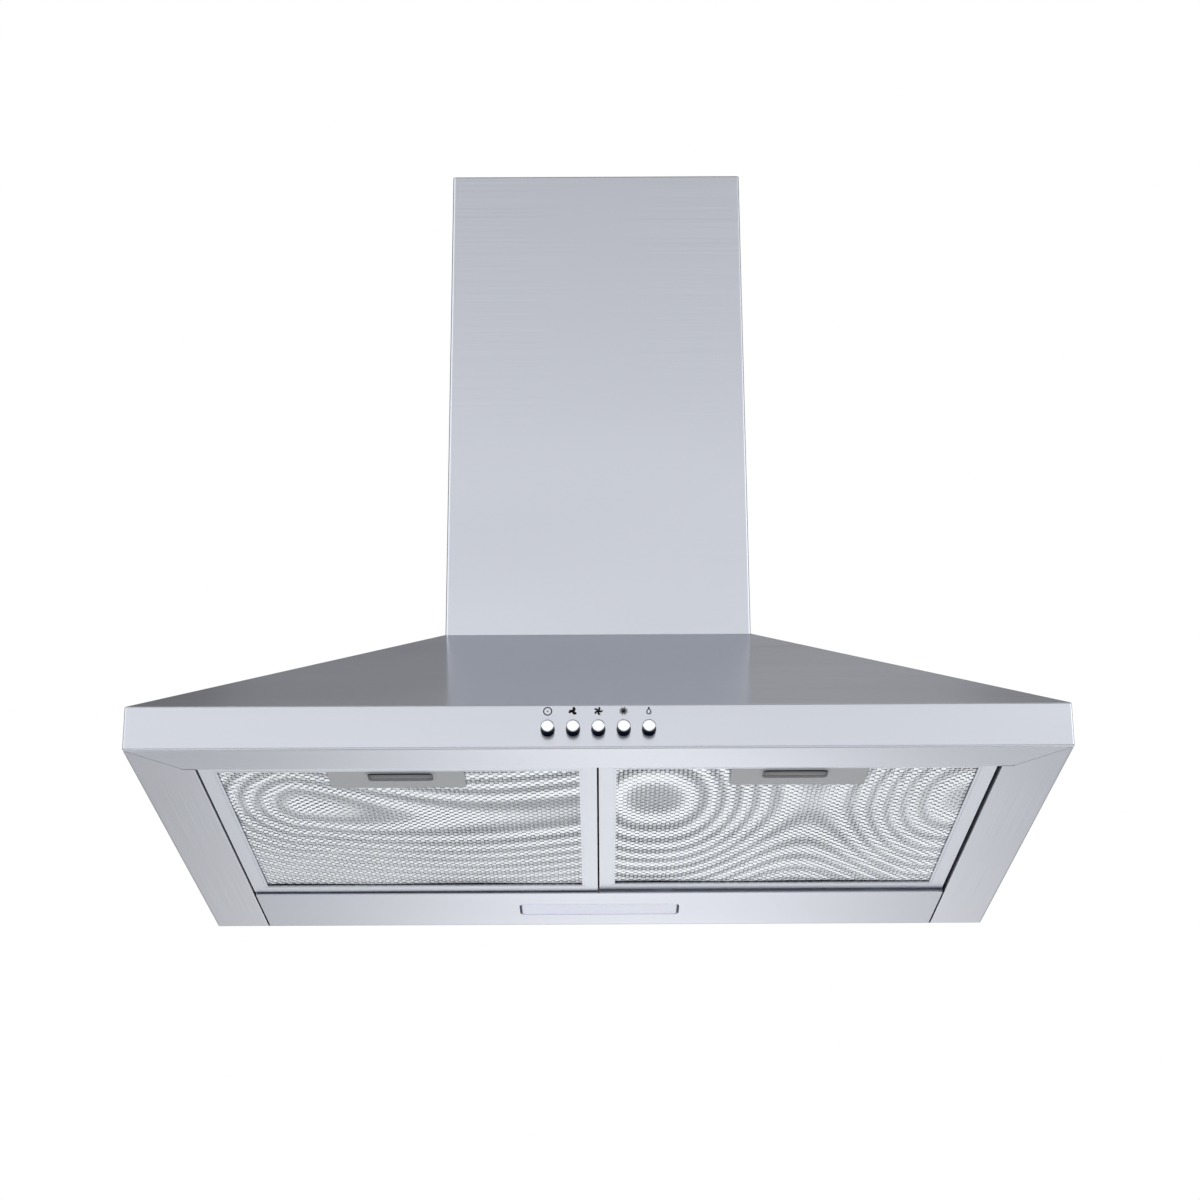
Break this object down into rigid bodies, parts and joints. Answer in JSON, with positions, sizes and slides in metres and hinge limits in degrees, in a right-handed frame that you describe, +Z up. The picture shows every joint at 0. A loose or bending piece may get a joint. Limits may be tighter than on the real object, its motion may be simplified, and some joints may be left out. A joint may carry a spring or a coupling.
{
  "type": "chimney range hood",
  "caption": "Wall-hung pyramid canopy with a telescopic chimney cover, hinged mesh filters with finger latches, round push buttons, a lamp and a ducted centrifugal blower.",
  "frame": {"origin": "on the wall plane, at the middle of the hood's lower rear edge", "axes": "+X to the right as seen from the room, +Y into the wall, +Z up"},
  "size_m": [0.6, 0.458, 0.57],
  "materials": {
    "stainless_steel": "fine horizontal brushing",
    "galvanised_steel": "dull zinc coat",
    "zinc_screws": "bright zinc plate",
    "filter_frame_aluminium": "rolled sheet",
    "filter_mesh_aluminium": "expanded foil layers",
    "latch_grey": "flat grey",
    "button_chrome": "bright plated caps",
    "housing_grey": "moulded dark grey",
    "wheel_black": "moulded black",
    "shaft_steel": "ground steel",
    "motor_enamel": "grey enamel",
    "rubber_black": "moulded",
    "switch_black": "moulded",
    "lens_frosted": "frosted, faint lavender",
    "reflector_white": "gloss white",
    "board_white": "solder mask",
    "box_white": "moulded",
    "capacitor_white": "moulded can",
    "lead_grey": "sheathed"
  },
  "bodies": {
    "hood": {"blower_bracket_left": "galvanised_steel", "blower_bracket_right": "galvanised_steel", "blower_screws": "zinc_screws", "blower_shell_left": "housing_grey", "blower_shell_right": "housing_grey", "cable_grommet": "rubber_black", "canopy_shell": "stainless_steel", "capacitor": "capacitor_white", "capacitor_clip": "galvanised_steel", "capacitor_lead": "lead_grey", "chimney_outer": "stainless_steel", "collar_screws": "zinc_screws", "flap_pin": "galvanised_steel", "inlet_grille_right": "housing_grey", "lamp_board": "board_white", "lamp_housing": "reflector_white", "lamp_lead": "lead_grey", "lamp_lens": "lens_frosted", "lamp_panel": "stainless_steel", "lamp_screws": "zinc_screws", "loom_clips": "box_white", "motor_body": "motor_enamel", "motor_bushes": "rubber_black", "motor_lead": "lead_grey", "motor_screws": "zinc_screws", "motor_spider": "galvanised_steel", "outlet_collar": "housing_grey", "rear_panel": "galvanised_steel", "switch_bank": "switch_black", "switch_bracket": "galvanised_steel", "switch_loom": "lead_grey", "terminal_box": "box_white", "terminal_lid": "box_white"},
    "left_filter": {"filter_frame_left": "filter_frame_aluminium", "filter_mesh_left": "filter_mesh_aluminium", "latch_plate_left": "latch_grey"},
    "right_filter": {"filter_frame_right": "filter_frame_aluminium", "filter_mesh_right": "filter_mesh_aluminium", "latch_plate_right": "latch_grey"},
    "left_latch": {"latch_slider_left": "latch_grey"},
    "right_latch": {"latch_slider_right": "latch_grey"},
    "off_button": {"button_off": "button_chrome"},
    "low_button": {"button_low": "button_chrome"},
    "medium_button": {"button_medium": "button_chrome"},
    "high_button": {"button_high": "button_chrome"},
    "light_button": {"button_light": "button_chrome"},
    "impeller": {"impeller_wheel": "wheel_black", "impeller_hub": "wheel_black", "motor_shaft": "shaft_steel"},
    "front_flap": {"flap_front": "housing_grey"},
    "rear_flap": {"flap_rear": "housing_grey"},
    "upper_chimney": {"chimney_inner": "stainless_steel", "ceiling_bracket": "galvanised_steel", "ceiling_screws": "zinc_screws"}
  },
  "joints": [
    {"name": "left_filter_hinge", "type": "hinge", "parent": "hood", "child": "left_filter", "pos_m": [0, -0.0955, 0.0025], "axis": [1, 0, 0], "range_deg": [0, 80]},
    {"name": "right_filter_hinge", "type": "hinge", "parent": "hood", "child": "right_filter", "pos_m": [0, -0.0955, 0.0025], "axis": [1, 0, 0], "range_deg": [0, 80]},
    {"name": "left_latch_slide", "type": "slide", "parent": "left_filter", "child": "left_latch", "axis": [0, 1, 0], "range_m": [0, 0.006], "stiffness_N_per_m": 300, "springref_m": -0.004},
    {"name": "right_latch_slide", "type": "slide", "parent": "right_filter", "child": "right_latch", "axis": [0, 1, 0], "range_m": [0, 0.006], "stiffness_N_per_m": 300, "springref_m": -0.004},
    {"name": "off_button_push", "type": "slide", "parent": "hood", "child": "off_button", "axis": [0, 1, 0], "range_m": [0, 0.003], "stiffness_N_per_m": 400, "springref_m": -0.001},
    {"name": "low_button_push", "type": "slide", "parent": "hood", "child": "low_button", "axis": [0, 1, 0], "range_m": [0, 0.003], "stiffness_N_per_m": 400, "springref_m": -0.001},
    {"name": "medium_button_push", "type": "slide", "parent": "hood", "child": "medium_button", "axis": [0, 1, 0], "range_m": [0, 0.003], "stiffness_N_per_m": 400, "springref_m": -0.001},
    {"name": "high_button_push", "type": "slide", "parent": "hood", "child": "high_button", "axis": [0, 1, 0], "range_m": [0, 0.003], "stiffness_N_per_m": 400, "springref_m": -0.001},
    {"name": "light_button_push", "type": "slide", "parent": "hood", "child": "light_button", "axis": [0, 1, 0], "range_m": [0, 0.003], "stiffness_N_per_m": 400, "springref_m": -0.001},
    {"name": "impeller_spin", "type": "hinge", "parent": "hood", "child": "impeller", "pos_m": [0, -0.1095, 0.118], "axis": [1, 0, 0], "continuous": true},
    {"name": "front_flap_swing", "type": "hinge", "parent": "hood", "child": "front_flap", "pos_m": [0, -0.087, 0.262], "axis": [-1, 0, 0], "range_deg": [0, 75]},
    {"name": "rear_flap_swing", "type": "hinge", "parent": "hood", "child": "rear_flap", "pos_m": [0, -0.087, 0.262], "axis": [1, 0, 0], "range_deg": [0, 75]},
    {"name": "upper_chimney_slide", "type": "slide", "parent": "hood", "child": "upper_chimney", "axis": [0, 0, 1], "range_m": [0, 0.3]}
  ]
}
